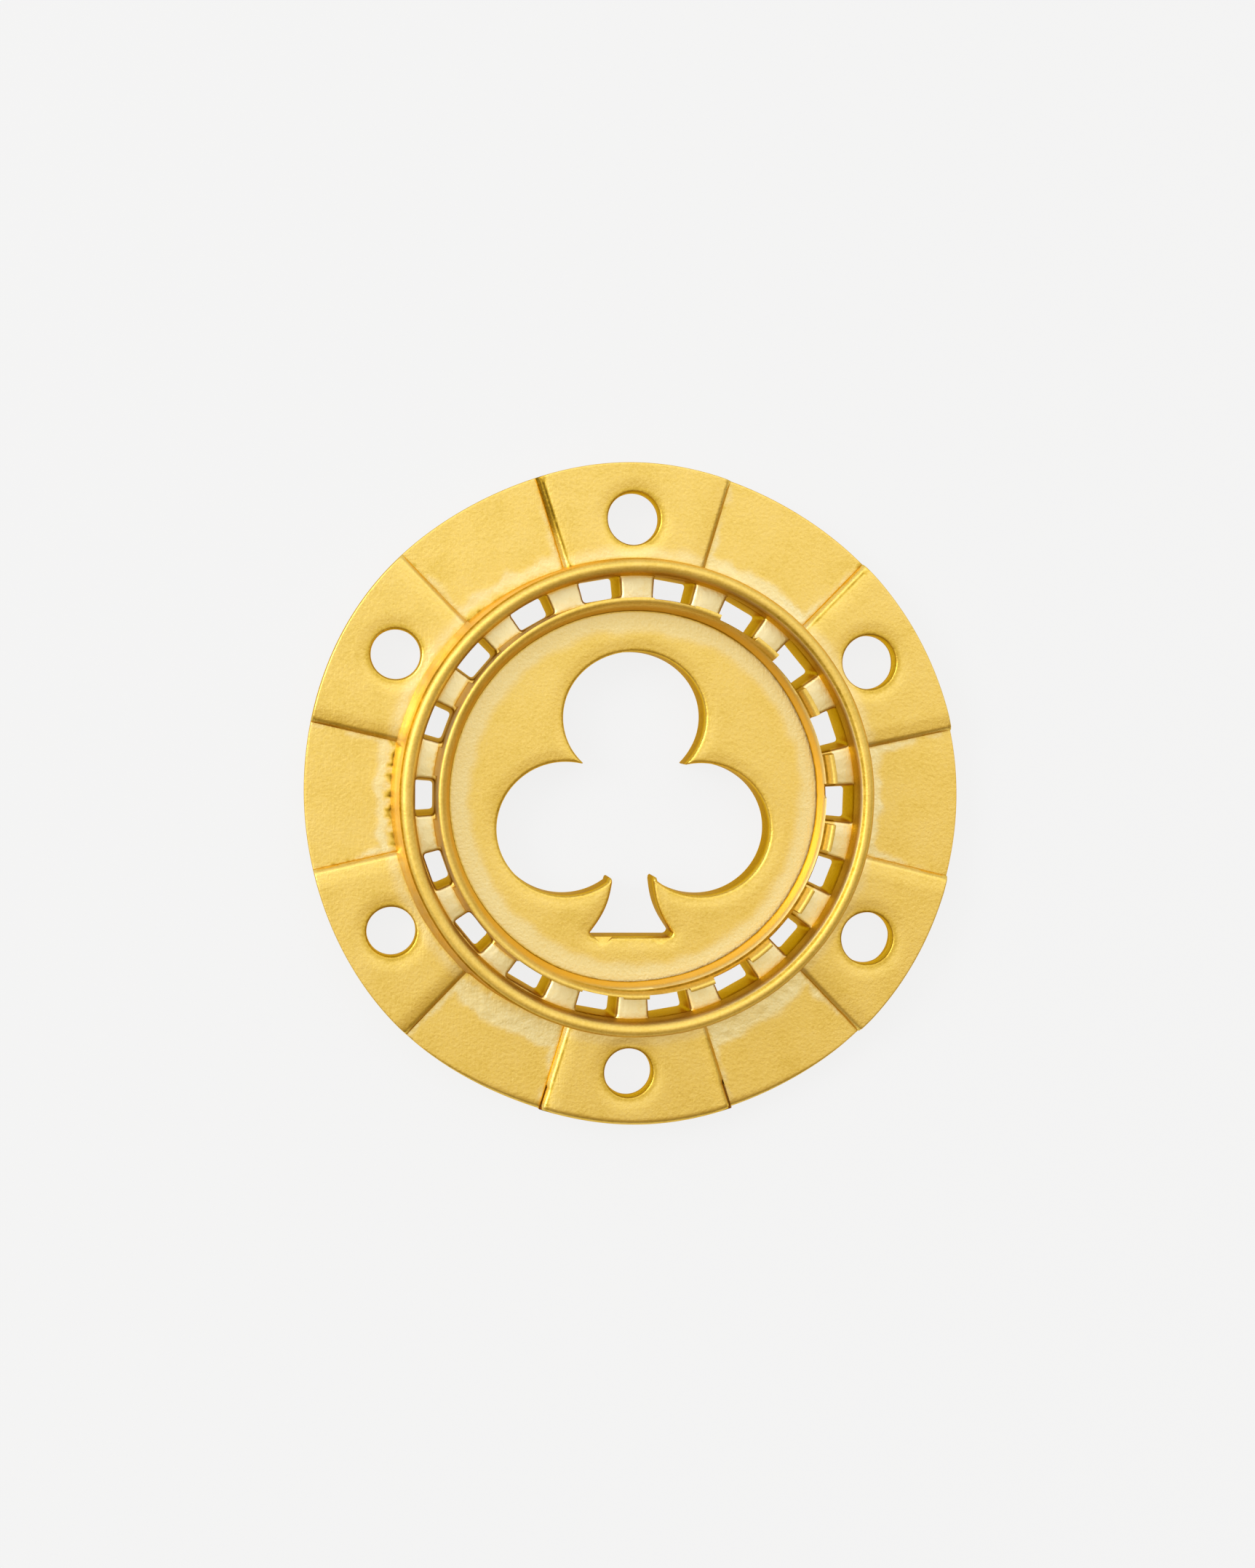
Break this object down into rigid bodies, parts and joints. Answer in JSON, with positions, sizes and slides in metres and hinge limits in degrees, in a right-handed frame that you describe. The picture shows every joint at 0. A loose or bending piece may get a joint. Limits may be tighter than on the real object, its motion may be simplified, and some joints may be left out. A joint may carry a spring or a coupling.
{
  "type": "dealer button",
  "caption": "Round gilt metal table marker with raised rim pads, a windowed ring between two beads, and a centre pierced with a club.",
  "frame": {"origin": "centre of the flat back face, on the table top when the button lies face up", "axes": "+Z out of the decorated face, +Y towards the top leaf of the club, +X to the right of the club"},
  "size_m": [0.0506, 0.0508, 0.0061],
  "materials": {
    "satin_gilt": "satin",
    "bead_gilt": "polished satin",
    "rib_gilt": "satin"
  },
  "bodies": {
    "root": {"flange_ring": "satin_gilt", "edge_pad_1": "satin_gilt", "edge_pad_2": "satin_gilt", "edge_pad_3": "satin_gilt", "edge_pad_4": "satin_gilt", "edge_pad_5": "satin_gilt", "edge_pad_6": "satin_gilt", "outer_bead_ring": "bead_gilt", "window_ring": "rib_gilt", "inner_bead_ring": "bead_gilt", "club_medallion": "satin_gilt"}
  },
  "joints": []
}
